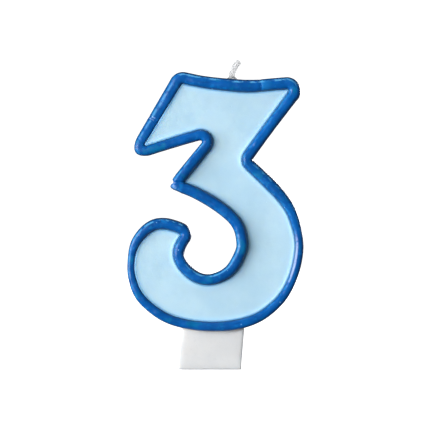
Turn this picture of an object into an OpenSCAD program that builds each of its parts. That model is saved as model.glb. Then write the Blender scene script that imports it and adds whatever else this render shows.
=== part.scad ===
// Number candle, figure 3: a cast white wax slab with its stem, a coloured wax face,
// a raised wax outline and a plaited cotton wick.
// Millimetres. +Z up, the face looks along -Y, +X is to the right of someone looking at it.
// The origin is the centre of the stem's foot.

/* [Digit] */
// Width of the digit over its outline
digit_w = 41.4; // [34:0.1:52]
// Height of the digit over its outline
digit_h = 61; // [50:0.5:76]

/* [Slab] */
// Thickness of the wax slab, front to back
slab_t = 7; // [5.5:0.1:12]
// How far the outline overhangs the slab's side walls
slab_inset = 0.25; // [0.1:0.05:0.5]

/* [Face] */
// Thickness of the coloured wax poured onto the slab's front
face_t = 0.8; // [0.4:0.1:1.2]

/* [Outline] */
// Nominal width of the raised outline
bead_w = 2.5; // [1.8:0.05:3]
// Height of the raised outline above the slab's front
bead_h = 2.4; // [1.6:0.1:3]

/* [Stem] */
// Length of stem that shows under the digit
stem_l = 9; // [7:0.5:20]
// Width of the stem where it leaves the digit
stem_w = 14.8; // [12:0.1:18]
// Width of the stem's foot
foot_w = 15.4; // [13:0.1:19]
// How far the stem's front and back are set in from the slab's
stem_step = 0.5; // [0:0.05:1.5]

/* [Wick] */
// Distance of the wick from the stem's middle
wick_x = 5.5; // [3:0.1:8]
// Diameter of the wick with its wax skin
wick_d = 1.5; // [1.4:0.05:1.8]
// Length of wick that stands out of the slab
wick_out = 4.8; // [3.5:0.1:8]
// Length of wick held inside the slab
wick_in = 24; // [10:0.5:26]
// How far the wick's tip leans to the right
wick_lean = 1.95; // [0:0.05:2.5]
// Diameter of one cotton yarn of the plait
yarn_d = 0.27; // [0.2:0.01:0.3]
// Length of one full turn of the plait
plait_pitch = 2.4; // [2.2:0.1:4]
// Height of the wax collar round the foot of the wick
collar_h = 0.9; // [0.3:0.05:1]
// How far the collar spreads from the wick's side
collar_spread = 0.9; // [0.4:0.05:1.2]

/* [Hidden] */
$fn = 48;

// ---- The figure ----
// The outline's middle line runs round the figure clockwise, in seven stretches that meet at its
// corners. A knot is [x, z above the digit's lowest edge, width as a share of bead_w], for a digit
// of the drawn size. A stretch is a smooth curve through its knots; one of two knots is straight.
DRAWN_W = 41.4;
DRAWN_H = 61;
DRAWN_BEAD = 2.5;
TOP_LEFT = [-6.9, 59.5, 1.2];
TOP_RIGHT = [22.2, 58.4, 1.2];
WAIST = [8.5, 40, 1.1];
BOWL_END = [-4.6, 23.6, 1.1];
MID_TIP = [-7.85, 34.4, 1.12];
ARM_NOTCH = [2.7, 47.4, 1.1];
ARM_TIP = [-17.8, 41.2, 1];
STRETCHES = [
    // the top edge
    [TOP_LEFT, [-0.8, 58.3, 1.2], [5.5, 57.6, 1.25], [10.2, 57.4, 1.25], [14.9, 57.8, 1.2], TOP_RIGHT],
    // the slope down to the waist
    [TOP_RIGHT, [14.4, 48.1, 1.1], WAIST],
    // round the outside of the bowl, to its end on the left
    [WAIST, [14.3, 34.5, 1.15], [17.5, 31, 1.1], [19.7, 27.3, 1], [21.2, 21.3, 0.85],
     [20.7, 15.8, 0.85], [18.9, 10.7, 0.85], [16.3, 6.9, 0.9], [12, 3.5, 0.95], [6.8, 1.7, 1],
     [0.7, 1.2, 0.95], [-5.7, 1.9, 0.95], [-10.9, 3.8, 0.95], [-15.8, 7.9, 0.9], [-17.8, 12.5, 0.8],
     [-18, 16.8, 0.75], [-16.9, 21, 0.95], [-13.8, 24.4, 1.1], [-10.1, 25.2, 1.15], BOWL_END],
    // round the counter and out to the middle tip
    [BOWL_END, [-6.9, 19, 1.1], [-6, 15.6, 1.1], [-2.9, 12.8, 1.1], [0.8, 12.2, 1.1],
     [4.9, 14.2, 1.1], [7.4, 18.3, 1.1], [7.8, 21.3, 1.1], [6.5, 25.4, 1.1], [2.6, 29.1, 1.15],
     [-2.9, 32.4, 1.15], MID_TIP],
    // up to the notch under the arm
    [MID_TIP, ARM_NOTCH],
    // the arm's underside
    [ARM_NOTCH, [-7, 44.6, 1.05], ARM_TIP],
    // the slope up to the top left corner
    [ARM_TIP, TOP_LEFT]
];

// The outline's width, as shares of bead_w, that lies beyond its middle line:
// on the left and right together, at the top and bottom together, and at the bottom alone
BEYOND_SIDES = 0.8;
BEYOND_ENDS = 1.07;
BEYOND_FOOT = 0.475;
grow_x = (digit_w - BEYOND_SIDES * bead_w) / (DRAWN_W - BEYOND_SIDES * DRAWN_BEAD);
grow_z = (digit_h - BEYOND_ENDS * bead_w) / (DRAWN_H - BEYOND_ENDS * DRAWN_BEAD);

// Longest step between two rings of the outline along a stretch
RING_STEP = 1.6;
// Radius of the middle line at a corner, as a share of the outline's width there:
// a little over a half, so that the outline's inner edge makes a crisp corner
CORNER_BEND = 0.6;
// Most that the middle line turns between two rings of a corner, in degrees
CORNER_STEP = 16;
// Clear run between a corner's last ring and the next ring of the stretch
CORNER_GAP = 0.4;
// How much further the outline's outer edge reaches at the middle of the corner that starts each
// stretch, as a share of bead_w: the middle tip is pointed and the arm's tip slightly so
CORNER_REACH = [0, 0, 0, 0, 0.42, 0, 0.2];
// How sharply that reach falls off to the corner's two ends
REACH_POWER = 4;

// A knot at its place and size on this digit: [x, z above the stem's foot, width]
function placed(k) = [
    k[0] * grow_x,
    stem_l + (k[1] - BEYOND_FOOT * DRAWN_BEAD) * grow_z + BEYOND_FOOT * bead_w,
    k[2] * bead_w
];
function flat(v) = [v[0], v[1]];
function unit(v) = v / norm(v);
function cross2(a, b) = a[0] * b[1] - a[1] * b[0];

// Point at t, from 0 to 1, on the smooth curve from b to c, with a before b and d after c
function spline(a, b, c, d, t) =
    0.5 * (2 * b + (c - a) * t + (2 * a - 5 * b + 4 * c - d) * t * t
           + (3 * b - a - 3 * c + d) * t * t * t);

// The points of a stretch, from its first knot to its last
function stretch_points(s) = [
    for (i = [0 : len(s) - 2])
        let (
            before = i > 0 ? s[i - 1] : 2 * s[0] - s[1],
            after = i < len(s) - 2 ? s[i + 2] : 2 * s[i + 1] - s[i],
            n = ceil(norm(flat(s[i + 1] - s[i])) / RING_STEP)
        )
        for (j = [0 : n - 1]) spline(before, s[i], s[i + 1], after, j / n),
    s[len(s) - 1]
];

runs = [for (s = STRETCHES) stretch_points([for (k = s) placed(k)])];
turns = len(runs);

// The corner at the start of run i: [way in, way out, turn in degrees, bend radius, cut-back]
function corner(i) =
    let (
        last = runs[(i + turns - 1) % turns],
        next = runs[i],
        way_in = unit(flat(last[len(last) - 1] - last[len(last) - 2])),
        way_out = unit(flat(next[1] - next[0])),
        turn = acos(way_in * way_out),
        bend = CORNER_BEND * next[0][2]
    )
    [way_in, way_out, turn, bend, bend * tan(turn / 2)];
corners = [for (i = [0 : turns - 1]) corner(i)];

// Rings round corner i: a true arc that meets both of its runs, with a ring at its middle.
// A ring is [x, z, width, how much further its outer edge reaches].
function corner_rings(i) =
    let (
        tip = runs[i][0],
        way = corners[i][0],
        turn = corners[i][2],
        bend = corners[i][3],
        side = sign(cross2(way, corners[i][1])) * [-way[1], way[0]],
        pivot = flat(tip) - way * corners[i][4] + side * bend,
        n = 2 * ceil(turn / 2 / CORNER_STEP)
    )
    [for (j = [0 : n])
        let (p = pivot - side * bend * cos(turn * j / n) + way * bend * sin(turn * j / n))
        [p[0], p[1], tip[2], CORNER_REACH[i] * bead_w * pow(sin(180 * j / n), REACH_POWER)]];

// Rings of run i that lie clear of the corners at its two ends
function run_rings(i) =
    let (
        run = runs[i],
        from_start = corners[i][4] + CORNER_GAP,
        from_end = corners[(i + 1) % turns][4] + CORNER_GAP,
        end = run[len(run) - 1]
    )
    [for (p = run)
        if (norm(flat(p - run[0])) > from_start && norm(flat(p - end)) > from_end)
            [p[0], p[1], p[2], 0]];

rings = [for (i = [0 : turns - 1]) each concat(corner_rings(i), run_rings(i))];
count = len(rings);

// Towards the figure's inside at ring i, square to the middle line
function inward(i) =
    let (along = unit(flat(rings[(i + 1) % count] - rings[(i + count - 1) % count])))
    [along[1], -along[0]];
inwards = [for (i = [0 : count - 1]) inward(i)];

// The point of ring i at a share of its width from the middle line, + is inwards, and then by more
function across_ring(i, share, more = 0) =
    flat(rings[i]) + inwards[i] * (share * rings[i][2] + (share - 0.5) * rings[i][3] + more);
// The same point of every ring
function edge(share, more = 0) = [for (i = [0 : count - 1]) across_ring(i, share, more)];

slab_edge = edge(-0.5, slab_inset);
face_edge = edge(0.5);
front_y = -slab_t / 2;

// ---- Slab and stem ----
// How far the stem's upper end is set to the right of its foot
STEM_SET = 1;
// How far the stem's root runs up inside the slab
STEM_ROOT = 4;
// The stem's left side swells to the foot's width between these two distances below the digit
SWELL_FROM = 2.2;
SWELL_TO = 5.4;
SWELL_STEPS = 6;
// Rounding of the stem's left foot corner
FOOT_R = 1.2;
stem_t = slab_t - 2 * stem_step;
stem_left = STEM_SET - stem_w / 2;
stem_outline = [
    [stem_left, stem_l + STEM_ROOT],
    for (i = [0 : SWELL_STEPS])
        [stem_left + (-foot_w / 2 - stem_left) * (1 - cos(180 * i / SWELL_STEPS)) / 2,
         stem_l - SWELL_FROM + (SWELL_FROM - SWELL_TO) * i / SWELL_STEPS],
    for (a = [180 : 15 : 270])
        [-foot_w / 2 + FOOT_R + FOOT_R * cos(a), FOOT_R + FOOT_R * sin(a)],
    [foot_w / 2, 0],
    [stem_left + stem_w, stem_l + STEM_ROOT]
];

// Draws an outline of the figure's plane as a plate that starts at y and is t thick
module plate(outline, y, t) {
    translate([0, y + t, 0])
        rotate([90, 0, 0])
            linear_extrude(height = t)
                polygon(outline);
}

// ---- Wick ----
// Swing of a yarn across the plait and from front to back, in yarn diameters
SWING_ACROSS = 1.35;
SWING_DEEP = 0.9;
// Room round the plait in the wax
PLAIT_ROOM = 0.02;
YARN_SIDES = 6;
YARN_RINGS_PER_PITCH = 10;
SKIN_SIDES = 12;
SKIN_RINGS = 10;
// Length at the wick's tip over which its skin rounds off
TIP_ROUND = 0.6;
// Thickness of the skin over the plait's end
TIP_SKIN = 0.4;
// Height above the slab at which the skin starts, inside the collar
SKIN_LIFT = 0.1;

plait_r = max([for (a = [0 : 5 : 90])
    yarn_d * norm([SWING_ACROSS * sin(a), SWING_DEEP * sin(2 * a)])]) + yarn_d / 2;
wick_hole_r = plait_r + PLAIT_ROOM;

// Height of the slab's top edge over the wick
slab_top = max([for (i = [0 : count - 1])
    let (p = slab_edge[i], q = slab_edge[(i + 1) % count])
    if ((p[0] - wick_x) * (q[0] - wick_x) <= 0 && p[0] != q[0])
        p[1] + (q[1] - p[1]) * (wick_x - p[0]) / (q[0] - p[0])]);

// The wick's middle line at height h above the slab: straight up to the collar's top, then leaning
function lean_share(h) = max(0, h - collar_h) / (wick_out - collar_h);
function wick_point(h) = [wick_x + wick_lean * pow(lean_share(h), 2), 0, slab_top + h];
function wick_way(h) = unit([2 * wick_lean * lean_share(h) / (wick_out - collar_h), 0, 1]);

// A four-sided face as two triangles
function quad(a, b, c, d) = [[a, b, c], [a, c, d]];

// Faces of a tube whose rings of n points follow each other, closed with a flat at both ends
function tube_faces(count, n) = [
    [for (j = [0 : n - 1]) j],
    for (i = [0 : count - 2], j = [0 : n - 1])
        each quad(i * n + j, (i + 1) * n + j, (i + 1) * n + (j + 1) % n, i * n + (j + 1) % n),
    [for (j = [0 : n - 1]) count * n - 1 - j]
];

// A ring of n points of radius r round c, square to the unit vector way, which leans only in X and Z
function ring_of(c, way, r, n) =
    let (across = unit([way[2], 0, -way[0]]), deep = cross(way, across))
    [for (j = [0 : n - 1]) c + r * (across * cos(360 * j / n) + deep * sin(360 * j / n))];

// The middle of one yarn of the plait, where its turn begins at phase degrees
function yarn_point(h, phase) =
    let (
        way = wick_way(h),
        across = [way[2], 0, -way[0]],
        turn = 360 * h / plait_pitch + phase
    )
    wick_point(h) + yarn_d * (SWING_ACROSS * sin(turn) * across + SWING_DEEP * sin(2 * turn) * [0, 1, 0]);

// ---- The pieces ----
module wax_core() {
    color("whitesmoke")
        difference() {
            union() {
                plate(slab_edge, front_y, slab_t);
                plate(stem_outline, -stem_t / 2, stem_t);
            }
            translate([wick_x, 0, slab_top - wick_in])
                cylinder(r = wick_hole_r, h = 2 * wick_in);
        }
}

module face_fill() {
    color("lightblue")
        plate(face_edge, front_y - face_t, face_t);
}

// The outline's section: [share of the width from the middle line, height above the slab's front].
// Its sides stand upright as far as the face is thick, and its back is a half ellipse.
BACK_STEPS = 6;
bead_section = [
    [-0.5, 0],
    for (i = [0 : BACK_STEPS])
        [-0.5 * cos(180 * i / BACK_STEPS), face_t + (bead_h - face_t) * sin(180 * i / BACK_STEPS)],
    [0.5, 0]
];

module outline_bead() {
    n = len(bead_section);
    points = [
        for (i = [0 : count - 1], q = bead_section)
            let (p = across_ring(i, q[0]))
            [p[0], front_y - q[1], p[1]]
    ];
    faces = [
        for (i = [0 : count - 1], j = [0 : n - 1])
            let (next = (i + 1) % count, k = (j + 1) % n)
            each quad(i * n + j, i * n + k, next * n + k, next * n + j)
    ];
    color("royalblue")
        polyhedron(points = points, faces = faces, convexity = 10);
}

module yarn(phase) {
    top = wick_out - TIP_SKIN - yarn_d;
    steps = ceil((wick_in + top - 2 * yarn_d) / plait_pitch * YARN_RINGS_PER_PITCH);
    heights = [for (i = [0 : steps]) -wick_in + yarn_d + (wick_in - yarn_d + top) * i / steps];
    dh = plait_pitch / YARN_RINGS_PER_PITCH / 10;
    points = [
        for (h = heights)
            let (
                way = unit(yarn_point(h + dh, phase) - yarn_point(h - dh, phase)),
                across = unit(cross([0, 1, 0], way)),
                deep = cross(way, across)
            )
            for (j = [0 : YARN_SIDES - 1])
                yarn_point(h, phase)
                + yarn_d / 2 * (across * cos(360 * j / YARN_SIDES) + deep * sin(360 * j / YARN_SIDES))
    ];
    color("ivory")
        polyhedron(points = points, faces = tube_faces(steps + 1, YARN_SIDES), convexity = 10);
}

module wick_yarn_1() { yarn(0); }
module wick_yarn_2() { yarn(120); }
module wick_yarn_3() { yarn(240); }

// A tube along the bare wick, from height low to height high, rounded off over its last stretch
module wick_sleeve(r, low, high, rounding) {
    heights = [
        for (i = [0 : SKIN_RINGS]) low + (high - rounding - low) * i / SKIN_RINGS,
        for (a = [22.5 : 22.5 : 67.5]) high - rounding + rounding * sin(a)
    ];
    points = [
        for (h = heights)
            each ring_of(wick_point(h), wick_way(h),
                         r * sqrt(1 - pow(max(0, (h - high + rounding) / rounding), 2)), SKIN_SIDES)
    ];
    polyhedron(points = points, faces = tube_faces(len(heights), SKIN_SIDES), convexity = 4);
}

module wick_coat() {
    color("white")
        difference() {
            wick_sleeve(wick_d / 2, SKIN_LIFT, wick_out, TIP_ROUND);
            wick_sleeve(wick_hole_r, -1, wick_out - TIP_SKIN, yarn_d);
        }
}

// A ring of wax that climbs the wick in a hollow curve and sits on the slab's top edge
module wick_collar() {
    foot_r = wick_d / 2 + collar_spread;
    color("white")
        difference() {
            translate([wick_x, 0, slab_top])
                rotate_extrude()
                    polygon([
                        [wick_d / 2, -collar_h],
                        [foot_r, -collar_h],
                        for (a = [270 : -15 : 195])
                            [foot_r + collar_spread * cos(a), collar_h + collar_h * sin(a)],
                        [wick_d / 2, collar_h]
                    ]);
            plate(slab_edge, front_y, slab_t);
        }
}

wax_core();
face_fill();
outline_bead();
wick_yarn_1();
wick_yarn_2();
wick_yarn_3();
wick_coat();
wick_collar();
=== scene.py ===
"""The looks of a wax number candle, figure 3: a cast slab with a stem, a coloured face,
a raised outline and a short waxed wick. Lengths are in millimetres until they are stored."""
import math

import bmesh
import bpy
import numpy as np
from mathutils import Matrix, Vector, geometry, noise


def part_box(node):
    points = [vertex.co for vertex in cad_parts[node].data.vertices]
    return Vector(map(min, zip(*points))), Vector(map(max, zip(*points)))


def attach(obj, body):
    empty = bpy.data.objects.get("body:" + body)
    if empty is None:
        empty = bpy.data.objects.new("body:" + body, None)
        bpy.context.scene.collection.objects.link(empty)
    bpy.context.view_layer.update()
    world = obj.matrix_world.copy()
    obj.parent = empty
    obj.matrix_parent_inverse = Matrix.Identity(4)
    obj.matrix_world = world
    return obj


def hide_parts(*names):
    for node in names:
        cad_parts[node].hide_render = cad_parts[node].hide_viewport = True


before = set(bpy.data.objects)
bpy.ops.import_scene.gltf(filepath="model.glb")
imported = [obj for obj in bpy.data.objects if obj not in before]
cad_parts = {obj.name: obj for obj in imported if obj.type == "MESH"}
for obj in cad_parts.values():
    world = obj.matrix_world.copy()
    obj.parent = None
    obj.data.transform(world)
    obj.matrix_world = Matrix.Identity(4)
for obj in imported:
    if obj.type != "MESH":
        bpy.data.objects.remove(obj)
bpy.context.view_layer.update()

MM = 0.001


# ---- Sizes ----
def node_box(node):
    """The lowest and highest corner of a CAD node, in millimetres."""
    low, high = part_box(node)
    return np.array(low) / MM, np.array(high) / MM


_, core_high = node_box("wax_core")
bead_low, bead_high = node_box("outline_bead")
face_low, face_high = node_box("face_fill")
_, collar_high = node_box("wick_collar")

SLAB_FRONT = face_high[1]             # y of the slab's front, under the face and the outline
SLAB_BACK = core_high[1]
FACE_T = face_high[1] - face_low[1]   # thickness of the coloured face
BEAD_H = bead_high[1] - bead_low[1]   # height of the outline above the slab
DIGIT_FOOT = bead_low[2]              # z of the digit's lowest edge
BEAD_W = 2.5                          # nominal width of the outline
SLAB_INSET = 0.25                     # how far the outline overhangs the slab
STEM_T = 6.0
STEM_W = 14.8
STEM_FOOT_W = 15.4
STEM_SET = 1.0                        # how far the stem's upper end is set to the right
WICK_X = 5.5
WICK_IN = 24.0
YARN_D = 0.27
PITCH = 2.4                           # one full turn of the plait

# ---- The figure's middle line ----
# Knots are [x, z above the digit's lowest edge, width as a share of BEAD_W], clockwise, in the
# stretches that meet at the figure's seven corners.
TOP_LEFT = [-6.9, 59.5, 1.2]
TOP_RIGHT = [22.2, 58.4, 1.2]
WAIST = [8.5, 40, 1.1]
BOWL_END = [-4.6, 23.6, 1.1]
MID_TIP = [-7.85, 34.4, 1.12]
ARM_NOTCH = [2.7, 47.4, 1.1]
ARM_TIP = [-17.8, 41.2, 1]
STRETCHES = [
    [TOP_LEFT, [-0.8, 58.3, 1.2], [5.5, 57.6, 1.25], [10.2, 57.4, 1.25], [14.9, 57.8, 1.2],
     TOP_RIGHT],
    [TOP_RIGHT, [14.4, 48.1, 1.1], WAIST],
    [WAIST, [14.3, 34.5, 1.15], [17.5, 31, 1.1], [19.7, 27.3, 1], [21.2, 21.3, 0.85],
     [20.7, 15.8, 0.85], [18.9, 10.7, 0.85], [16.3, 6.9, 0.9], [12, 3.5, 0.95], [6.8, 1.7, 1],
     [0.7, 1.2, 0.95], [-5.7, 1.9, 0.95], [-10.9, 3.8, 0.95], [-15.8, 7.9, 0.9], [-17.8, 12.5, 0.8],
     [-18, 16.8, 0.75], [-16.9, 21, 0.95], [-13.8, 24.4, 1.1], [-10.1, 25.2, 1.15], BOWL_END],
    [BOWL_END, [-6.9, 19, 1.1], [-6, 15.6, 1.1], [-2.9, 12.8, 1.1], [0.8, 12.2, 1.1],
     [4.9, 14.2, 1.1], [7.4, 18.3, 1.1], [7.8, 21.3, 1.1], [6.5, 25.4, 1.1], [2.6, 29.1, 1.15],
     [-2.9, 32.4, 1.15], MID_TIP],
    [MID_TIP, ARM_NOTCH],
    [ARM_NOTCH, [-7, 44.6, 1.05], ARM_TIP],
    [ARM_TIP, TOP_LEFT],
]
CORNER_BEND = 0.6      # radius of the middle line at a corner, as a share of the outline's width
CORNER_REACH = [0, 0, 0, 0, 0.42, 0, 0.2]   # how much further the outer edge goes at each corner
REACH_POWER = 4
CURVE_STEP = 0.3
CORNER_STEP = math.radians(6)
RING_GAP = 0.2         # distance between two rings of the outline


def spline(a, b, c, d, t):
    """Point at t, from 0 to 1, on the smooth curve from b to c, with a before b and d after c."""
    return 0.5 * (2 * b + (c - a) * t + (2 * a - 5 * b + 4 * c - d) * t ** 2
                  + (3 * b - a - 3 * c + d) * t ** 3)


def stretch_points(knots):
    """The points of one stretch, from its first knot to its last."""
    knots = [np.array(k, float) for k in knots]
    points = []
    for i, (here, there) in enumerate(zip(knots, knots[1:])):
        before = knots[i - 1] if i else 2 * here - there
        after = knots[i + 2] if i + 2 < len(knots) else 2 * there - here
        steps = math.ceil(np.linalg.norm((there - here)[:2]) / CURVE_STEP)
        points += [spline(before, here, there, after, j / steps) for j in range(steps)]
    return points + [knots[-1]]


def corner_of(run_in, run_out):
    """Where two runs meet: the way in, the way out, the turn, the bend's radius, the cut-back."""
    way_in = (run_in[-1] - run_in[-2])[:2]
    way_out = (run_out[1] - run_out[0])[:2]
    way_in, way_out = way_in / np.linalg.norm(way_in), way_out / np.linalg.norm(way_out)
    turn = math.acos(np.clip(way_in @ way_out, -1, 1))
    bend = CORNER_BEND * run_out[0][2] * BEAD_W
    return way_in, way_out, turn, bend, bend * math.tan(turn / 2)


def corner_points(tip, corner, reach):
    """A true arc that meets both runs of a corner: x, z, width and the outer edge's reach."""
    way, way_out, turn, bend, cut = corner
    side = np.sign(way[0] * way_out[1] - way[1] * way_out[0]) * np.array([-way[1], way[0]])
    pivot = tip[:2] - way * cut + side * bend
    steps = math.ceil(turn / CORNER_STEP)
    arc = []
    for a in np.linspace(0, turn, steps + 1):
        place = pivot - side * bend * math.cos(a) + way * bend * math.sin(a)
        more = reach * BEAD_W * math.sin(math.pi * a / turn) ** REACH_POWER
        arc.append(np.array([place[0], place[1], tip[2], more]))
    return arc


def middle_line():
    """The outline's middle line in even steps: places, ways inward, widths, the outer edge's
    reach and distances along the line."""
    runs = [stretch_points(s) for s in STRETCHES]
    corners = [corner_of(runs[i - 1], runs[i]) for i in range(len(runs))]
    line = []
    for i, run in enumerate(runs):
        line += corner_points(run[0], corners[i], CORNER_REACH[i])
        start, end = corners[i][4], corners[(i + 1) % len(runs)][4]
        line += [np.append(p, 0) for p in run
                 if np.linalg.norm((p - run[0])[:2]) > start + CURVE_STEP
                 and np.linalg.norm((p - run[-1])[:2]) > end + CURVE_STEP]
    line = np.array(line + line[:1])
    along = np.concatenate([[0], np.cumsum(np.linalg.norm(np.diff(line[:, :2], axis=0), axis=1))])
    count = round(along[-1] / RING_GAP)
    even = np.arange(count) * along[-1] / count
    places = np.stack([np.interp(even, along, line[:, k]) for k in range(2)], axis=1)
    places[:, 1] += DIGIT_FOOT
    widths = np.interp(even, along, line[:, 2]) * BEAD_W
    reach = np.interp(even, along, line[:, 3])
    ways = np.roll(places, -1, axis=0) - np.roll(places, 1, axis=0)
    ways /= np.linalg.norm(ways, axis=1)[:, None]
    inward = np.stack([ways[:, 1], -ways[:, 0]], axis=1)
    return places, inward, widths, reach, even, along[-1]


LINE, INWARD, WIDTH, REACH, ALONG, LOOP = middle_line()


def nearest_ring(x, z):
    """The number of the ring whose middle is nearest to a place."""
    return int(np.argmin(np.linalg.norm(LINE - np.array([x, z]), axis=1)))


def ring_distance(ring):
    """Signed distance along the outline from one ring to every ring, the short way round."""
    return (ALONG - ALONG[ring] + LOOP / 2) % LOOP - LOOP / 2


def edge(share, more=0.0):
    """The figure's outline at a share of the bead's width from its middle, + is inward."""
    return LINE + INWARD * (share * WIDTH + (share - 0.5) * REACH + more)[:, None]


def wander(seed, shortest, longest):
    """A smooth random value round the closed outline, from -1 to 1, with no seam."""
    rng = np.random.default_rng(seed)
    turns = np.arange(math.ceil(LOOP / longest), math.ceil(LOOP / shortest) + 1)
    waves = rng.normal(size=len(turns)) / np.sqrt(turns)
    starts = rng.uniform(0, 2 * math.pi, len(turns))
    value = (waves * np.sin(2 * math.pi * turns * ALONG[:, None] / LOOP + starts)).sum(axis=1)
    return value / np.abs(value).max()


def bump_at(distance, width):
    """A smooth rise of 1 at distance 0 that is gone one width away."""
    return np.exp(-(distance / width) ** 2 * 2)


def lumps_at(places, per_mm, shift=(0, 0, 0)):
    """Smooth noise from -1 to 1 at places, with a number of lumps to the millimetre."""
    return np.array([noise.noise(Vector(p) * per_mm + Vector(shift)) for p in places])


# ---- Meshes ----
def make_piece(name, places, faces, paint):
    """A mesh object of the scene from places in millimetres."""
    mesh = bpy.data.meshes.new(name)
    mesh.from_pydata([tuple(p) for p in np.asarray(places) * MM], [], faces)
    mesh.validate()
    work = bmesh.new()
    work.from_mesh(mesh)
    bmesh.ops.recalc_face_normals(work, faces=work.faces)
    work.to_mesh(mesh)
    work.free()
    mesh.polygons.foreach_set("use_smooth", [True] * len(mesh.polygons))
    piece = bpy.data.objects.new(name, mesh)
    bpy.context.scene.collection.objects.link(piece)
    if paint is not None:
        mesh.materials.append(paint)
    return piece


def store(piece, name, values):
    """Keeps one number per vertex on a piece, for its material to read."""
    layer = piece.data.attributes.new(name, "FLOAT", "POINT")
    layer.data.foreach_set("value", np.asarray(values, np.float32))


def tube_faces(rings, sides, closed=False):
    """Faces of a tube of rings that follow each other, capped unless it closes on itself."""
    faces = []
    for i in range(rings if closed else rings - 1):
        a, b = i * sides, (i + 1) % rings * sides
        faces += [(a + j, a + (j + 1) % sides, b + (j + 1) % sides, b + j) for j in range(sides)]
    if not closed:
        faces += [tuple(range(sides))[::-1], tuple(range((rings - 1) * sides, rings * sides))]
    return faces


# ---- The outline ----
SECTION = 26           # points round the outline's section, apart from its flat foot
FOOT_TUCK = 0.05       # how much narrower the section is at its foot
SQUARENESS = 3.0       # 2 is a half ellipse, more is boxier
THIN, WIDE = 1.9, 2.7  # the outline is piped lower where it is narrower, between these widths
THIN_H = 0.66          # how high it is where it is narrowest, as a share of BEAD_H
ARM_EASE = 0.38        # how much lower the outline is along the arm's left side
ARM_LEAN = 0.22        # how far its crest leans inward there, as a share of half its width
NOTCH_LEAN = -0.15     # the same along the notch, where it leans outward
ARM_SPAN = 17          # how far along the outline the lower stretch at the arm reaches
ARM_LEAN_SPAN = 14     # the same for its lean
NOTCH_SPAN = 9         # the same for the lean along the notch
WIDTH_WANDER = 0.015   # how much the outline's width wanders, as a share
HEIGHT_WANDER = 0.035  # the same for its height
CREST_WANDER = 0.08    # how far its crest wanders, as a share of half its width
LAP_PINCH = 0.04       # how much narrower it is at the lap
LAP_DIP = 0.035        # how much lower it is at the lap
NICK_DIP = 0.05
SPLIT_DIP = 0.12
NICK_CHIP = 0.06       # how much of the outer edge is gone at the nick
SPLIT_CHIP = 0.9
CHIP_POWER = 2
FOOT_SHARE = 0.3       # the share of the height over which the section tucks in to its foot
ROUGH_DEPTH = 0.03     # unevenness of the outline's surface, and of its fine part
FINE_DEPTH = 0.012
SUNK = 0.05            # how far pieces reach into each other where they are bonded
LAP = nearest_ring(12.2, LINE[:, 1].max())
NICK = nearest_ring(-13.2, 58.9)
SPLIT = nearest_ring(MID_TIP[0], MID_TIP[1] + DIGIT_FOOT)
ARM_SIDE = nearest_ring(-12.4, 59.4)
NOTCH_SIDE = nearest_ring(-2.6, 49.9)
# Where a painted reflection lies, on the inner side of the bowl's right run
PAINTED_REFLECTION_RING = nearest_ring(20.8, 26)


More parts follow.
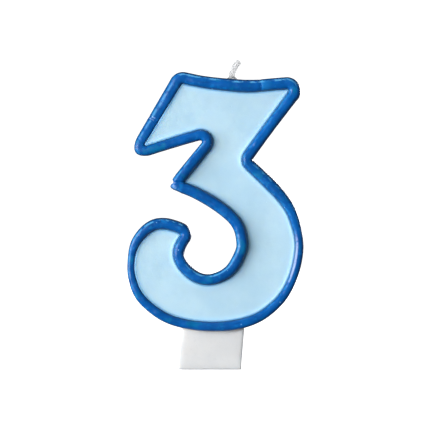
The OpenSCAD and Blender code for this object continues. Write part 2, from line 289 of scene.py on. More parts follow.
def outline_piece(paint):
    """The raised outline: a piped bead that starts and ends at the lap on the top stroke."""
    lap, nick, split = (ring_distance(r) for r in (LAP, NICK, SPLIT))
    half = WIDTH / 2 * (1 - WIDTH_WANDER + WIDTH_WANDER * wander(3, 2.5, 30))
    half *= 1 - LAP_PINCH * bump_at(lap + 0.3, 0.5)
    chip = np.maximum(SPLIT_CHIP * bump_at(split - 0.42, 0.3), NICK_CHIP * bump_at(nick, 0.35))
    tall = BEAD_H * (1 - HEIGHT_WANDER + HEIGHT_WANDER * wander(5, 2, 25))
    tall *= THIN_H + (1 - THIN_H) * np.clip((WIDTH - THIN) / (WIDE - THIN), 0, 1)
    arm, notch = ring_distance(ARM_SIDE), ring_distance(NOTCH_SIDE)
    tall *= 1 - ARM_EASE * bump_at(arm, ARM_SPAN)
    tall *= 1 - LAP_DIP * bump_at(lap + 0.15, 0.4) - NICK_DIP * bump_at(nick, 0.3)
    tall *= 1 - SPLIT_DIP * bump_at(split - 0.3, 0.4)
    lean = CREST_WANDER * wander(8, 6, 60) + ARM_LEAN * bump_at(arm, ARM_LEAN_SPAN)
    lean += NOTCH_LEAN * bump_at(notch, NOTCH_SPAN)
    places, across = [], []
    for a in np.linspace(0, math.pi, SECTION):
        side = np.sign(math.cos(a)) * abs(math.cos(a)) ** (2 / SQUARENESS)
        rise = math.sin(a) ** (2 / SQUARENESS)
        tuck = FOOT_TUCK * max(0, 1 - rise / FOOT_SHARE) ** 2
        out = half * (side * (1 - tuck) + lean * rise * (1 - side ** 2))
        out += (side - 1) / 2 * REACH + chip * max(0, -side) ** CHIP_POWER
        flat = LINE + INWARD * out[:, None]
        deep = SLAB_FRONT - tall * rise + (SUNK if rise == 0 else 0)
        places.append(np.stack([flat[:, 0], deep, flat[:, 1]], axis=1))
        across.append(np.full(len(LINE), side))
    places = np.stack(places, axis=1)
    rough = lumps_at(places.reshape(-1, 3), 0.9)
    fine = lumps_at(places.reshape(-1, 3), 2.6, (7, 0, 0))
    sink = (ROUGH_DEPTH * (rough + 1) + FINE_DEPTH * (fine + 1)).reshape(places.shape[:2])
    places[:, 1:-1, 1] += sink[:, 1:-1]
    faces = tube_faces(len(LINE), SECTION, closed=True)
    piece = make_piece("blue_outline", places.reshape(-1, 3), faces, paint)
    turn = np.repeat(ALONG * 2 * math.pi / LOOP, SECTION)
    across = np.stack(across, axis=1).reshape(-1)
    radius = LOOP / (2 * math.pi)
    flow = np.stack([np.cos(turn) * radius, np.sin(turn) * radius, across * BEAD_W / 2], axis=1)
    layer = piece.data.attributes.new("flow", "FLOAT_VECTOR", "POINT")
    layer.data.foreach_set("vector", flow.astype(np.float32).reshape(-1))
    store(piece, "side", across)
    # Painted light: the outline's flanks that face left, towards the key lamp, are painted lighter,
    # less so along the notch
    painted_flank_light = INWARD[:, 0] * (1 - 0.8 * bump_at(notch, NOTCH_SPAN))
    store(piece, "painted_flank_light", np.clip(-across * np.repeat(painted_flank_light, SECTION), 0, 1))
    # How far the outline faces up, for the painted shade on its upper outer edge and the painted
    # highlight strokes on its shoulder
    store(piece, "crown", np.clip(np.repeat(-INWARD[:, 1], SECTION), 0, 1))
    store(piece, "lap", np.repeat(lap, SECTION))
    store(piece, "nick", np.repeat(nick, SECTION))
    store(piece, "split", np.repeat(split, SECTION))
    store(piece, "smear_and_sheen", np.repeat(ring_distance(PAINTED_REFLECTION_RING), SECTION))
    return piece


# ---- The coloured face ----
FACE_GRID = 0.25
MENISCUS_H = 0.22      # how high the face climbs the outline
MENISCUS_W = 0.4
FACE_SAG = 0.1
POOL = (-16, 22, 6, 0.1)   # where the face lies thickest: x, z, how far round, how much
HOLLOWS = [(3, 45, 5, 0.3), (12, 29, 5, 0.2)]   # where it lies thin, in the same way
FACE_TILT = 0.015      # rise of the face per millimetre to the left
FACE_MIDDLE_X = 2
FACE_GAP = 0.12        # how far the face's edge stays under the outline's inner edge
SAG_W = 2.5            # how far from the rim the sag is reached
SWELL_H = 0.05
RIPPLE_H = 0.015
ROW_SHARE = 0.866      # distance of two rows of even triangles, as a share of their side
CLEAR_SHARE = 0.6      # how far the grid stays off the rim, as a share of its step
BATCHES = 40           # the distances are worked out in this many batches


def gap_to(line, points):
    """Distance from each point to the nearest point of a line."""
    return np.concatenate([np.linalg.norm(part[:, None] - line[None], axis=2).min(axis=1)
                           for part in np.array_split(points, BATCHES)])


def face_piece(paint):
    """The face: wax poured inside the outline, a little higher where it wets the outline."""
    rim = edge(0.5, -FACE_GAP)
    low, high = rim.min(axis=0), rim.max(axis=0)
    grid = []
    rows = math.ceil((high[1] - low[1]) / (FACE_GRID * ROW_SHARE))
    for row in range(rows):
        xs = np.arange(low[0] + (row % 2) * FACE_GRID / 2, high[0], FACE_GRID)
        height = low[1] + row * FACE_GRID * ROW_SHARE
        grid.append(np.stack([xs, np.full(len(xs), height)], axis=1))
    grid = np.concatenate(grid)
    grid = grid[gap_to(rim, grid) > FACE_GRID * CLEAR_SHARE]
    points = [Vector(p) for p in np.concatenate([rim, grid])]
    flat, _, tiles, *_ = geometry.delaunay_2d_cdt(points, [], [list(range(len(rim)))], 1, 1e-5)
    flat = np.array([tuple(p) for p in flat])
    gaps = gap_to(edge(0.5), flat)
    swell = np.array([noise.noise(Vector((p[0] * 0.12, p[1] * 0.12, 3))) for p in flat])
    ripple = np.array([noise.noise(Vector((p[0] * 0.5, p[1] * 0.5, 9))) for p in flat])
    rise = FACE_T + MENISCUS_H * np.exp(-gaps / MENISCUS_W) + SWELL_H * swell + RIPPLE_H * ripple
    rise -= FACE_SAG * (1 - np.exp(-gaps / SAG_W))
    thin = [(x, z, spread, -less) for x, z, spread, less in HOLLOWS]
    for x, z, spread, more in [POOL] + thin:
        rise += more * np.exp(-((flat[:, 0] - x) ** 2 + (flat[:, 1] - z) ** 2) / spread ** 2 / 2)
    rise += FACE_TILT * (FACE_MIDDLE_X - flat[:, 0])
    top = np.stack([flat[:, 0], SLAB_FRONT - rise, flat[:, 1]], axis=1)
    base = np.stack([flat[:, 0], np.full(len(flat), SLAB_FRONT + SUNK), flat[:, 1]], axis=1)
    count = len(flat)
    border = {}
    for tile in tiles:
        for a, b in zip(tile, tile[1:] + tile[:1]):
            if (b, a) in border:
                del border[(b, a)]
            else:
                border[(a, b)] = True
    faces = [tuple(t) for t in tiles] + [tuple(i + count for i in t[::-1]) for t in tiles]
    faces += [(b, a, a + count, b + count) for a, b in border]
    piece = make_piece("blue_face", np.concatenate([top, base]), faces, paint)
    store(piece, "from_rim", np.concatenate([gaps, gaps]))
    return piece


# ---- The slab and stem ----
VOXEL = 0.25
BACK_ROUND = 0.7
FRONT_ROUND = 0.15
STEM_ROUND = 0.2
STEM_CORNER = 1.2      # rounding of the stem's left foot
STEM_IN = 4            # how far the stem goes on inside the slab
BELLY = 0.1            # half the depth of the bulge on the stem's left side
BELLY_FROM = 2.2       # where the bulge begins, below the digit
BELLY_SPAN = 3.2
SWELL_DEPTH = 0.045    # unevenness of the cast wax
DIMPLE_DEPTH = 0.02
BACK_DEPTH = 0.12      # how much more the back sinks in places
FOOT_FLAT = 0.6        # height over which the foot stays even, and where it stands flat
FOOT_SNAP = 0.04
FRONT_KEEP = 0.4       # the front stays flat this far behind the outline


def stem_sides(z):
    """The stem's left and right x at a height above its foot."""
    share = min(1, z / DIGIT_FOOT)
    half = STEM_FOOT_W / 2 + (STEM_W - STEM_FOOT_W) / 2 * share
    swell = 0
    drop = DIGIT_FOOT - z
    if BELLY_FROM < drop < BELLY_FROM + BELLY_SPAN:
        swell = BELLY * (1 - math.cos((drop - BELLY_FROM) / BELLY_SPAN * 2 * math.pi))
    left = -half + STEM_SET * share - swell
    if z < STEM_CORNER:
        left += STEM_CORNER - math.sqrt(STEM_CORNER ** 2 - (STEM_CORNER - z) ** 2)
    return left, half + STEM_SET * share


def stem_mesh():
    """The stem as a loft of rounded rectangles, from its foot to inside the slab."""
    places, sides = [], 32
    heights = [0, 0.05, 0.15, 0.3, 0.5, 0.8, 1.2]
    heights += list(np.arange(1.5, DIGIT_FOOT + STEM_IN, 0.3))
    for z in heights:
        left, right = stem_sides(z)
        half_x, half_y = (right - left) / 2, STEM_T / 2
        for k in range(sides):
            a = (k + 0.5) / sides * 2 * math.pi
            corner_x = math.copysign(half_x - STEM_ROUND, math.cos(a))
            corner_y = math.copysign(half_y - STEM_ROUND, math.sin(a))
            places.append([(left + right) / 2 + corner_x + STEM_ROUND * math.cos(a),
                           corner_y + STEM_ROUND * math.sin(a), z])
    return places, tube_faces(len(heights), sides)


def slab_mesh():
    """The slab as rings that follow the outline, with eased edges."""
    rings = []
    for a in np.linspace(0, math.pi / 2, 4):
        rings.append((SLAB_FRONT + FRONT_ROUND * (1 - math.sin(a)),
                      FRONT_ROUND * (1 - math.cos(a))))
    rings.reverse()
    for a in np.linspace(0, math.pi / 2, 8):
        rings.append((SLAB_BACK - BACK_ROUND * (1 - math.sin(a)), BACK_ROUND * (1 - math.cos(a))))
    places = []
    for y, inset in rings:
        flat = edge(-0.5, SLAB_INSET + inset)
        places.append(np.stack([flat[:, 0], np.full(len(flat), y), flat[:, 1]], axis=1))
    return np.concatenate(places), tube_faces(len(rings), len(LINE))


def apply_modifiers(piece):
    """Turns a piece's modifiers into its mesh."""
    graph = bpy.context.evaluated_depsgraph_get()
    mesh = bpy.data.meshes.new_from_object(piece.evaluated_get(graph))
    old = piece.data
    piece.modifiers.clear()
    piece.data = mesh
    bpy.data.meshes.remove(old)
    mesh.name = piece.name


def core_piece(paint):
    """The slab and the stem, cast in one, with soft edges and the marks of casting."""
    slab, slab_faces = slab_mesh()
    stem, stem_faces = stem_mesh()
    shift = len(slab)
    places = np.concatenate([slab, np.array(stem)])
    faces = slab_faces + [tuple(i + shift for i in f) for f in stem_faces]
    piece = make_piece("white_slab", places, faces, None)
    remesh = piece.modifiers.new("even", "REMESH")
    remesh.mode = "VOXEL"
    remesh.voxel_size = VOXEL * MM
    remesh.adaptivity = 0
    ease = piece.modifiers.new("ease", "SMOOTH")
    ease.factor = 0.5
    ease.iterations = 4
    apply_modifiers(piece)
    mesh = piece.data
    spots = np.empty(len(mesh.vertices) * 3)
    mesh.vertices.foreach_get("co", spots)
    spots = spots.reshape(-1, 3) / MM
    normals = np.empty(len(mesh.vertices) * 3)
    mesh.vertices.foreach_get("normal", normals)
    normals = normals.reshape(-1, 3)
    swell = lumps_at(spots, 0.11, (2, 5, 1))
    dimple = lumps_at(spots, 0.32, (9, 1, 4))
    sink = SWELL_DEPTH * (swell + 1) + DIMPLE_DEPTH * (dimple + 1)
    back = np.clip(normals[:, 1], 0, 1) ** 4
    sink += back * BACK_DEPTH * np.clip(swell + 0.1, 0, 1)
    standing = np.clip(1 - spots[:, 2] / FOOT_FLAT, 0, 1)
    sink *= 1 - np.clip(standing * 2, 0, 1)
    front = (spots[:, 1] < SLAB_FRONT + FRONT_KEEP) & (normals[:, 1] < -0.5)
    sink[front] = 0
    spots -= normals * sink[:, None]
    spots[:, 2] = np.where(spots[:, 2] < FOOT_SNAP, 0, spots[:, 2])
    spots[:, 1] = np.clip(spots[:, 1], SLAB_FRONT, SLAB_BACK)
    mesh.vertices.foreach_set("co", (spots * MM).reshape(-1))
    mesh.update()
    mesh.polygons.foreach_set("use_smooth", [True] * len(mesh.polygons))
    mesh.materials.clear()
    mesh.materials.append(paint)
    return piece


# ---- The wick ----
COLLAR_H = 0.9
COLLAR_SPREAD = 0.9
SLAB_TOP = collar_high[2] - COLLAR_H
WICK_FOOT = SLAB_TOP - WICK_IN
LEAN_FROM = collar_high[2]
TIP = 4.8
TIP_LEAN = 1.95
PLAIT_ACROSS = 1.35 * YARN_D
PLAIT_DEEP = 0.9 * YARN_D
COAT_D = 1.5
PLAIT_SHOWS = 0.05     # how deep the creases of the plait are in its wax
WICK_STEP = 0.1
YARN_SHORT = 0.67      # how far below the tip the yarns end
YARN_BLUNT = 0.15      # length of a yarn's rounded end, and its size at the very end
YARN_END = 0.65
PLY_TURN = 1.1         # length of one turn of the plies in a yarn
SKIN_FROM = 0.1        # where the wax skin begins and ends, above the slab and below the tip
SKIN_SHORT = 0.12
SKIN_UNDER = 0.015     # how far the skin stays inside its nominal size, at rest and at most
SKIN_LEAST = 0.005
YARN_FAT = 0.33        # radius of a yarn with the wax that clings to it
MERGE_POWER = 8        # how sharply the three yarns part under the wax
SKIN_LUMPS = 0.03
TIP_LENGTH = 0.6
TIP_POWER = 2.6        # 2 is a half ball, more is blunter
COLLAR_IN = 0.45       # how deep the collar goes into the slab
COLLAR_BORE = 0.5
COLLAR_POWER = 0.65


def wick_line(low, high):
    """Places and ways in the x-z plane up the middle of the wick, and distances along it."""
    z = np.arange(low, high + WICK_STEP / 2, WICK_STEP)
    lean = np.clip((z - LEAN_FROM) / (SLAB_TOP + TIP - LEAN_FROM), 0, None)
    x = WICK_X + TIP_LEAN * lean ** 2
    ways = np.stack([np.gradient(x), np.gradient(z)], axis=1)
    ways /= np.linalg.norm(ways, axis=1)[:, None]
    gone = np.concatenate([[0], np.cumsum(np.hypot(np.diff(x), np.diff(z)))])
    return np.stack([x, z], axis=1), ways, gone + (low - WICK_FOOT)


def strand(gone, phase):
    """How far a yarn is across and deep of the wick's middle at distances along it."""
    turn = 2 * math.pi * gone / PITCH + phase
    return PLAIT_ACROSS * np.sin(turn), PLAIT_DEEP * np.sin(2 * turn)


def wick_tube(name, middle, ways, across, deep, paint):
    """A tube up the wick; across and deep are one row of points per ring."""
    side = np.stack([ways[:, 1], -ways[:, 0]], axis=1)
    flat = middle[:, None] + side[:, None] * across[:, :, None]
    places = np.stack([flat[:, :, 0], deep, flat[:, :, 1]], axis=2)
    return make_piece(name, places.reshape(-1, 3), tube_faces(len(middle), across.shape[1]), paint)


def yarn_piece(number, paint):
    """One yarn of the plait: three plies laid up to the right."""
    middle, ways, gone = wick_line(WICK_FOOT, SLAB_TOP + TIP - YARN_SHORT)
    phase = (number - 1) * 2 * math.pi / 3
    across, deep = strand(gone, phase)
    round_it = np.linspace(0, 2 * math.pi, 18, endpoint=False)[None]
    lay = round_it - gone[:, None] * 2 * math.pi / PLY_TURN
    radius = YARN_D / 2 * (0.9 + 0.1 * np.abs(np.cos(lay * 1.5)))
    from_end = np.minimum(gone - gone[0], gone[-1] - gone)[:, None]
    radius *= np.minimum(1, from_end / YARN_BLUNT * (1 - YARN_END) + YARN_END)
    wide = across[:, None] + radius * np.cos(round_it)
    thick = deep[:, None] + radius * np.sin(round_it)
    return wick_tube(f"wick_yarn_strand_{number}", middle, ways, wide, thick, paint)


def skin_piece(paint):
    """The wax on the wick's free end, thin enough that the plait shows through."""
    middle, ways, gone = wick_line(SLAB_TOP + SKIN_FROM, SLAB_TOP + TIP - SKIN_SHORT)
    round_it = np.linspace(0, 2 * math.pi, 48, endpoint=False)
    reach = np.zeros((len(middle), len(round_it)))
    for number in range(3):
        across, deep = strand(gone, number * 2 * math.pi / 3)
        ahead = across[:, None] * np.cos(round_it) + deep[:, None] * np.sin(round_it)
        off = across[:, None] * np.sin(round_it) - deep[:, None] * np.cos(round_it)
        hit = ahead + np.sqrt(np.clip(YARN_FAT ** 2 - off ** 2, 0, None))
        hit = np.where(np.abs(off) < YARN_FAT, hit, 0)
        reach += np.clip(hit, 0, None) ** MERGE_POWER
    reach = reach ** (1 / MERGE_POWER)
    crease = (reach.max() - reach) / (reach.max() - reach.min())
    reach = COAT_D / 2 - SKIN_UNDER - PLAIT_SHOWS * crease
    spots = np.stack(np.broadcast_arrays(np.cos(round_it), np.sin(round_it), gone[:, None] * 2),
                     axis=2).reshape(-1, 3)
    lumps = lumps_at(spots, 1.6).reshape(reach.shape)
    reach = np.minimum(reach * (1 + SKIN_LUMPS * lumps), COAT_D / 2 - SKIN_LEAST)
    end = np.clip((gone[-1] - gone) / TIP_LENGTH, 0, 1)
    reach *= (1 - (1 - end) ** TIP_POWER * 0.98)[:, None] ** (1 / TIP_POWER)
    wide = reach * np.cos(round_it)
    thick = reach * np.sin(round_it)
    piece = wick_tube("wick_skin", middle, ways, wide, thick, paint)
    store(piece, "crease", crease.reshape(-1))
    return piece


def collar_piece(paint):
    """The wax that climbs the wick where it leaves the slab."""
    foot, sides = COAT_D / 2 + COLLAR_SPREAD, 48
    rings = [(COLLAR_BORE, -COLLAR_IN), (foot * 0.98, -COLLAR_IN), (foot, -0.3)]
    for t in np.linspace(0, 1, 12):
        rings.append((foot + (COAT_D / 2 + 0.03 - foot) * t,
                      -0.12 + (COLLAR_H + 0.12) * t ** COLLAR_POWER))
    rings.append((COLLAR_BORE, COLLAR_H - 0.03))
    places = []
    for radius, lift in rings:
        for k in range(sides):
            a = k / sides * 2 * math.pi
            wave = 1 + 0.05 * math.sin(2 * a + 1) + 0.03 * math.sin(5 * a)
            out = radius if radius < COAT_D / 2 + 0.1 else min(foot, radius * wave * 0.95)
            places.append([WICK_X + out * math.cos(a), out * math.sin(a), SLAB_TOP + lift])
    faces = tube_faces(len(rings), sides, closed=True)
    return make_piece("wick_collar_wax", places, faces, paint)


# ---- Finishes ----
MILK = (0.70, 0.705, 0.71)
MILK_PALE = (0.745, 0.745, 0.745)
MILK_DULL = (0.665, 0.67, 0.68)
SKY_DEEP = (0.44, 0.655, 0.79)
SKY = (0.50, 0.71, 0.83)
SKY_DULL = (0.42, 0.64, 0.78)
# Painted light along the face's rim, and painted shade where the face meets the outline
SKY_RIM_LIGHT = (0.42, 0.72, 0.95)
SKY_JOIN_SHADE = (0.08, 0.34, 0.64)
SKY_SPECK = (0.62, 0.85, 0.96)
ROYAL_DEEP = (0.0, 0.08, 0.315)
ROYAL = (0.0, 0.106, 0.405)
ROYAL_STREAK = (0.0, 0.058, 0.235)
ROYAL_BLOTCH = (0.0, 0.165, 0.51)
ROYAL_TEAL = (0.0, 0.15, 0.34)
ROYAL_LAP = (0.01, 0.19, 0.54)
ROYAL_SCAR = (0.24, 0.42, 0.78)
# Painted shade for the outline's edges
ROYAL_EDGE_SHADE = (0.0, 0.06, 0.18)
ROYAL_FLECK = (0.16, 0.40, 0.74)
# Light and shade laid on as paint, because the lamps don't give them
LIGHT_FLANK = (0.03, 0.26, 0.60)
LIGHT_PATCH = (0.34, 0.44, 0.72)
DARK_CROWN = (0.0, 0.05, 0.14)
LIGHT_STROKE = (0.08, 0.36, 0.68)
# The wick
COTTON_DEEP = (0.62, 0.60, 0.55)
COTTON = (0.78, 0.77, 0.73)
COTTON_TUFT = (0.55, 0.53, 0.49)
SKIN_DEEP = (0.45, 0.45, 0.46)
SKIN = (0.52, 0.52, 0.53)
SKIN_CREASE_SHADE = (0.31, 0.31, 0.32)
SKIN_FIBRE = (0.42, 0.42, 0.42)


class Value:
    """A number inside a finish: a socket that takes part in ordinary arithmetic."""

    def __init__(self, paint, socket):
        self.paint = paint
        self.socket = socket

    def math(self, operation, *values):
        return self.paint.node("ShaderNodeMath", {"operation": operation}, dict(enumerate(values)))

    def __add__(self, other):
        return self.math("ADD", self, other)

    def __sub__(self, other):
        return self.math("SUBTRACT", self, other)

    def __rsub__(self, other):
        return self.math("SUBTRACT", other, self)

    def __mul__(self, other):
        return self.math("MULTIPLY", self, other)

    def __abs__(self):
        return self.math("ABSOLUTE", self)

    __radd__ = __add__
    __rmul__ = __mul__


class Paint:
    """A finish in the making: nodes that end in one Principled shader."""

    def __init__(self, name):
        self.material = bpy.data.materials.new(name)
        self.material.use_nodes = True
        self.tree = self.material.node_tree
        self.tree.nodes.clear()
        place = self.node("ShaderNodeTexCoord", {}, {}, "Object")
        self.spot = self.vector("SCALE", place, scale=1 / MM)

    def node(self, kind, settings, sockets, out=0):
        """Any node: its type, its settings, the values or links of its sockets, and its output."""
        made = self.tree.nodes.new(kind)
        for key, value in settings.items():
            setattr(made, key, value)
        for key, value in sockets.items():
            if isinstance(value, Value):
                self.tree.links.new(value.socket, made.inputs[key])
            else:
                made.inputs[key].default_value = value
        return None if out is None else Value(self, made.outputs[out])

    def vector(self, operation, first, second=(0, 0, 0), third=(0, 0, 0), scale=1.0):
        sockets = {0: first, 1: second, 2: third}
        if operation == "SCALE":
            sockets = {0: first, 3: scale}
        return self.node("ShaderNodeVectorMath", {"operation": operation}, sockets)

    def kept(self, name, out="Fac"):
        """A value that the piece keeps for each of its vertices."""
        return self.node("ShaderNodeAttribute", {"attribute_name": name}, {}, out)

    def clouds(self, size, shift=0.0, detail=2.0, stretch=(1, 1, 1), spot=None, warp=0.0):
        """Soft noise about 0.5, in lumps of a size in millimetres."""
        scale = tuple(s / size for s in stretch)
        place = self.vector("MULTIPLY_ADD", spot or self.spot, scale, (shift, shift * 1.7, -shift))
        return self.node("ShaderNodeTexNoise", {}, {"Vector": place, "Scale": 1.0, "Detail": detail,
                                                    "Roughness": 0.55, "Distortion": warp})

    def cells(self, size, shift=0.0):
        """Distance from the nearest of many scattered points, in shares of a size."""
        place = self.vector("MULTIPLY_ADD", self.spot, (1 / size,) * 3, (shift, -shift, shift))
        return self.node("ShaderNodeTexVoronoi", {}, {"Vector": place, "Scale": 1.0}, "Distance")

    def between(self, value, low, high):
        """A smooth 0 to 1 as a value goes from low to high."""
        return self.node("ShaderNodeMapRange", {"interpolation_type": "SMOOTHSTEP"},
                         {0: value, 1: low, 2: high, 3: 0.0, 4: 1.0})

    def blend(self, share, first, second):
        """Two colours mixed by a share."""
        colours = [c if isinstance(c, Value) else (*c, 1) for c in (first, second)]
        return self.node("ShaderNodeMix", {"data_type": "RGBA", "clamp_factor": True},
                         {0: share, 6: colours[0], 7: colours[1]}, 2)

    def done(self, colour, roughness, height, depth, fixed):
        """Ends the finish: relief of a depth in millimetres, and fixed values of the shader."""
        sockets = {"Height": height, "Distance": depth * MM, "Strength": 1.0}
        relief = self.node("ShaderNodeBump", {}, sockets, "Normal")
        sockets = {"Base Color": colour, "Roughness": roughness, "Normal": relief}
        shader = self.node("ShaderNodeBsdfPrincipled", {}, {**sockets, **fixed})
        self.node("ShaderNodeOutputMaterial", {}, {"Surface": shader}, None)
        return self.material


def scatter(weight, reach, colours):
    """The fixed values for light that travels inside wax, over a reach in millimetres."""
    return {"Subsurface Weight": weight, "Subsurface Scale": reach * MM,
            "Subsurface Radius": colours}


def white_wax(name):
    """Cast white wax: milky, satin, with faint clouds, flow marks and rubbed patches."""
    p = Paint(name)
    clouds = p.clouds(9, 3.1, 3)
    fine = p.clouds(1.1, 5.2, 3)
    colour = p.blend(p.between(clouds, 0.35, 0.7), MILK, MILK_PALE)
    colour = p.blend(p.between(fine, 0.52, 0.75) * 0.5, colour, MILK_DULL)
    rubbed = p.between(p.clouds(4, 8.3, 4), 0.55, 0.75)
    grain = p.clouds(0.45, 1.7, 3)
    flow = p.clouds(3.5, 2.2, 2, (0.6, 1, 2.2), warp=0.6)
    pits = 1 - p.between(p.cells(2.6, 0.4), 0.02, 0.09)
    roughness = 0.42 + rubbed * 0.14 + grain * 0.08
    height = grain * 0.25 + fine * 0.35 + flow * 0.9 - pits * 1.2
    fixed = scatter(1.0, 3.0, (1.0, 0.94, 0.88))
    return p.done(colour, roughness, height, 0.05, {**fixed, "Specular IOR Level": 0.2})


def light_blue_wax():
    """Poured face wax: satin, with painted light that makes it brighter and bluer along its rim,
    and painted shade where it meets the outline.
    """
    p = Paint("light_blue_wax")
    rim = p.kept("from_rim")
    clouds = p.clouds(7, 1.3, 3)
    fine = p.clouds(1.6, 6.1, 3)
    colour = p.blend(p.between(clouds, 0.3, 0.7), SKY_DEEP, SKY)
    colour = p.blend(p.between(fine, 0.5, 0.8) * 0.35, colour, SKY_DULL)
    # Painted light: the face brighter and bluer along its rim
    painted_rim_light = 1 - p.between(rim, 0.2, 1.6)
    colour = p.blend(painted_rim_light * 0.55, colour, SKY_RIM_LIGHT)
    # Painted shade: a dark blue band where the face meets the outline
    join_shade = 1 - p.between(rim, 0.08, 0.42)
    colour = p.blend(join_shade * 0.75, colour, SKY_JOIN_SHADE)
    specks = 1 - p.between(p.cells(3.4, 0.9), 0.02, 0.05)
    colour = p.blend(specks * 0.5, colour, SKY_SPECK)
    grain = p.clouds(0.4, 4.4, 3)
    flow = p.clouds(4.5, 3.9, 2, warp=0.8)
    roughness = 0.4 + fine * 0.1 + grain * 0.06
    height = grain * 0.15 + fine * 0.35 + flow - specks * 0.6
    return p.done(colour, roughness, height, 0.05, scatter(0.5, 0.4, (1.0, 0.8, 0.6)))


def dark_blue_wax():
    """Piped outline wax: royal blue with streaks, blotches, marks and some painted light."""
    p = Paint("dark_blue_wax")
    flow = p.kept("flow", "Vector")
    turn = p.vector("MULTIPLY", flow, (0.28, 0.28, 1.3))
    streak = p.clouds(1.0, 2.0, 3, spot=turn, warp=0.5)
    blotch = p.clouds(1.5, 7.7, 3)
    large = p.clouds(6, 0.8, 2)
    colour = p.blend(p.between(large, 0.35, 0.68), ROYAL_DEEP, ROYAL)
    colour = p.blend(p.between(streak, 0.5, 0.72) * 0.6, colour, ROYAL_STREAK)
    colour = p.blend(p.between(blotch, 0.56, 0.74) * 0.7, colour, ROYAL_BLOTCH)
    teal = p.between(p.clouds(3.2, 5.5, 2), 0.58, 0.72)
    colour = p.blend(teal * 0.7, colour, ROYAL_TEAL)
    side = p.kept("side")
    # Painted light: paler patches on the outline's flanks that face left
    patches = p.between(p.clouds(1.3, 6.4, 3, warp=0.4), 0.44, 0.6)
    painted_flank_light = p.between(p.kept("painted_flank_light"), 0.1, 0.8)
    colour = p.blend(painted_flank_light * patches * 0.75, colour, LIGHT_FLANK)
    past = p.kept("lap")
    lap = p.between(past, -0.1, 0.15) * (1 - p.between(past, 0.6, 3.0))
    colour = p.blend(lap * 0.75, colour, ROYAL_LAP)
    nick = 1 - p.between(abs(abs(p.kept("nick")) - 0.3), 0.06, 0.2)
    nick = nick * p.between(side * -1, 0.0, 0.3)
    split = 1 - p.between(abs(p.kept("split")), 0.2, 1.1)
    scars = nick * 0.8 + split * p.between(side * -1, 0.2, 0.7) * 0.5
    chips = p.between(p.clouds(0.5, 9.1, 3), 0.42, 0.6)
    colour = p.blend(scars * chips, colour, ROYAL_SCAR)
    # Painted reflection: a pale lavender patch on the inner side of the bowl's right run
    smear_and_sheen = (1 - p.between(abs(p.kept("smear_and_sheen")), 3.5, 7.5)) * p.between(side, 0.15, 0.45)
    smear_and_sheen = smear_and_sheen * p.between(p.clouds(1.6, 2.6, 3, warp=0.5), 0.36, 0.5)
    colour = p.blend(smear_and_sheen * 0.75, colour, LIGHT_PATCH)
    # Painted shade: darker towards both edges of the outline's section
    edges = p.between(abs(side + 0.04) + (streak - 0.5) * 0.12, 0.62, 0.96)
    colour = p.blend(edges * 0.85, colour, ROYAL_EDGE_SHADE)
    # Painted shade along the upper outer edge of the outline
    crown = p.kept("crown")
    colour = p.blend(p.between(side * -1, 0.68, 0.84) * crown * 0.85, colour, DARK_CROWN)
    # Painted highlight: pale strokes along the outline's upper shoulder
    shoulder = p.between(side * -1, 0.35, 0.5) * (1 - p.between(side * -1, 0.64, 0.76))
    drawn = p.vector("MULTIPLY", flow, (0.5, 0.5, 1.6))
    painted_highlight_strokes = p.between(p.clouds(1.0, 8.8, 2, spot=drawn), 0.42, 0.54)
    colour = p.blend(shoulder * painted_highlight_strokes * crown * 0.9, colour, LIGHT_STROKE)
    flecks = 1 - p.between(p.cells(2.4, 0.3), 0.04, 0.09)
    colour = p.blend(flecks * 0.85, colour, ROYAL_FLECK)
    fine = p.clouds(0.5, 3.3, 3)
    roughness = 0.24 + p.between(blotch, 0.4, 0.7) * 0.12 + fine * 0.12
    height = streak * 0.9 + blotch * 0.5 + fine * 0.22 - flecks * 0.5 - scars * 0.5
    fixed = scatter(0.1, 0.25, (0.1, 0.4, 1.0))
    return p.done(colour, roughness, height, 0.06, {**fixed, "Specular IOR Level": 0.2})


def cotton_yarn():
    """Undyed cotton, soaked with wax: fine fibres along the lay of the yarn."""
    p = Paint("cotton_yarn")
    fibres = p.clouds(0.09, 1.1, 3, (1, 1, 0.2))
    tufts = p.clouds(0.5, 2.9, 2)
    colour = p.blend(p.between(fibres, 0.35, 0.7), COTTON_DEEP, COTTON)
    colour = p.blend(p.between(tufts, 0.5, 0.8) * 0.4, colour, COTTON_TUFT)
    return p.done(colour, 0.6 + fibres * 0.25, fibres, 0.03, scatter(0.1, 0.2, (1, 0.9, 0.8)))


def wick_wax():
    """The thin wax on the wick: white on the yarns, with painted shade greying the creases between
    them.
    """
    p = Paint("wick_wax")
    crease = p.kept("crease")
    smear_and_sheen = p.clouds(0.5, 4.2, 3, (1, 1, 0.6))
    fibres = p.clouds(0.13, 6.6, 3, (1, 1, 0.3))
    colour = p.blend(p.between(smear_and_sheen, 0.35, 0.7), SKIN_DEEP, SKIN)
    # Painted shade: the wax greyer in the creases between the yarns
    shows = p.between(crease, 0.45, 0.9) * p.between(p.clouds(1.0, 3.4, 2), 0.35, 0.6)
    colour = p.blend(shows * 0.5, colour, SKIN_CREASE_SHADE)
    colour = p.blend(p.between(fibres, 0.6, 0.75) * 0.3, colour, SKIN_FIBRE)
    height = smear_and_sheen * 0.6 + fibres * 0.5
    fixed = scatter(1.0, 12.0, (1, 0.98, 0.96))
    return p.done(colour, 0.5 + smear_and_sheen * 0.2, height, 0.008, {**fixed, "Specular IOR Level": 0.15})


# ---- Camera, light and stage ----
LENS = 180.0
SENSOR = 36.0
VIEW_W = 100.5                      # width of the view at the outline, in millimetres
AIM_X = 1.52
AIM_Z = 36.28
FLOOR_GLOW = 0.97                   # keeps the floor and wall an even pale white
ROOM_COLOUR = (0.88, 0.95, 1, 1)
ROOM_LIGHT = 0.18


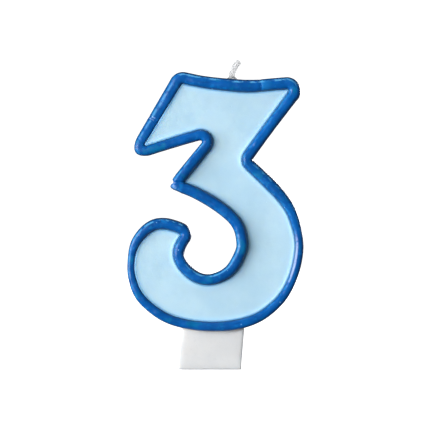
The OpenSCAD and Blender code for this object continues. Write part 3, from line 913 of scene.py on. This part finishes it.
def make_camera():
    """A long lens straight at the front."""
    data = bpy.data.cameras.new("camera")
    data.lens, data.sensor_width = LENS, SENSOR
    data.clip_start, data.clip_end = 0.01, 10
    camera = bpy.data.objects.new("camera", data)
    away = VIEW_W * LENS / SENSOR
    camera.location = Vector((AIM_X, SLAB_FRONT - 1 - away, AIM_Z)) * MM
    camera.rotation_euler = (math.pi / 2, 0, 0)
    bpy.context.scene.collection.objects.link(camera)
    bpy.context.scene.camera = camera


def soft_light(name, way, away, width, height, power):
    """A rectangular lamp that points at the middle of the figure from a direction."""
    data = bpy.data.lights.new(name, "AREA")
    data.shape = "RECTANGLE"
    data.size, data.size_y, data.energy = width, height, power
    lamp = bpy.data.objects.new(name, data)
    way = Vector(way).normalized()
    lamp.location = Vector((AIM_X, 0, AIM_Z)) * MM + way * away
    lamp.rotation_euler = way.to_track_quat("Z", "Y").to_euler()
    bpy.context.scene.collection.objects.link(lamp)


def pale_stage():
    """A floor that curves up all round into a plain pale wall."""
    reach, bend, tall, sides = 2.4, 0.6, 2.2, 96
    curve = [(r, 0.0) for r in (0.3, 0.9, reach - bend)]
    for a in np.linspace(0, math.pi / 2, 13)[1:]:
        curve.append((reach - bend + bend * math.sin(a), bend * (1 - math.cos(a))))
    curve.append((reach, tall))
    turns = [k / sides * 2 * math.pi for k in range(sides)]
    places = [[r / MM * math.cos(a), r / MM * math.sin(a), z / MM] for r, z in curve for a in turns]
    faces = [tuple(range(sides))]
    for i in range(len(curve) - 1):
        a, b = i * sides, (i + 1) * sides
        faces += [(a + j, b + j, b + (j + 1) % sides, a + (j + 1) % sides) for j in range(sides)]
    p = Paint("pale_floor")
    mottle = p.clouds(60, 1, 2)
    colour = p.blend(mottle, (0.86, 0.86, 0.86), (0.88, 0.88, 0.88))
    paint = p.done(colour, 0.9 - mottle * 0.02, mottle, 0.02,
                   {"Emission Color": (1, 1, 1, 1), "Emission Strength": FLOOR_GLOW,
                    "Specular IOR Level": 0.0})
    floor = make_piece("pale_floor", places, faces, paint)
    floor.visible_diffuse = False
    floor.visible_glossy = False


def dim_room():
    """The room round the lamps."""
    world = bpy.data.worlds.new("room")
    world.use_nodes = True
    sky = world.node_tree.nodes["Background"]
    sky.inputs["Color"].default_value = ROOM_COLOUR
    sky.inputs["Strength"].default_value = ROOM_LIGHT
    bpy.context.scene.world = world


# ---- Making ----
make_camera()
bpy.context.scene.view_settings.view_transform = "Standard"
slab = core_piece(white_wax("white_wax"))
face = face_piece(light_blue_wax())
outline = outline_piece(dark_blue_wax())
collar = collar_piece(white_wax("collar_wax"))
cotton = cotton_yarn()
yarns = [yarn_piece(number, cotton) for number in (1, 2, 3)]
skin = skin_piece(wick_wax())

stands_for = [(slab, "wax_core", "white_wax"), (face, "face_fill", "light_blue_wax"),
              (outline, "outline_bead", "dark_blue_wax"), (collar, "wick_collar", "white_wax"),
              (skin, "wick_coat", "wick_wax")]
stands_for += [(yarn, f"wick_yarn_{i + 1}", "cotton_yarn") for i, yarn in enumerate(yarns)]
for piece, node, finish in stands_for:
    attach(piece, "root")
    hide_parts(node)

pale_stage()
dim_room()
soft_light("key", (-0.79, -0.61, 0.08), away=0.8, width=0.8, height=0.2, power=11.5)
soft_light("overhead", (-0.05, -0.35, 1), away=0.9, width=0.5, height=0.3, power=0.9)
soft_light("back", (0.5, 0.86, 0.15), away=0.9, width=0.5, height=0.25, power=5.5)
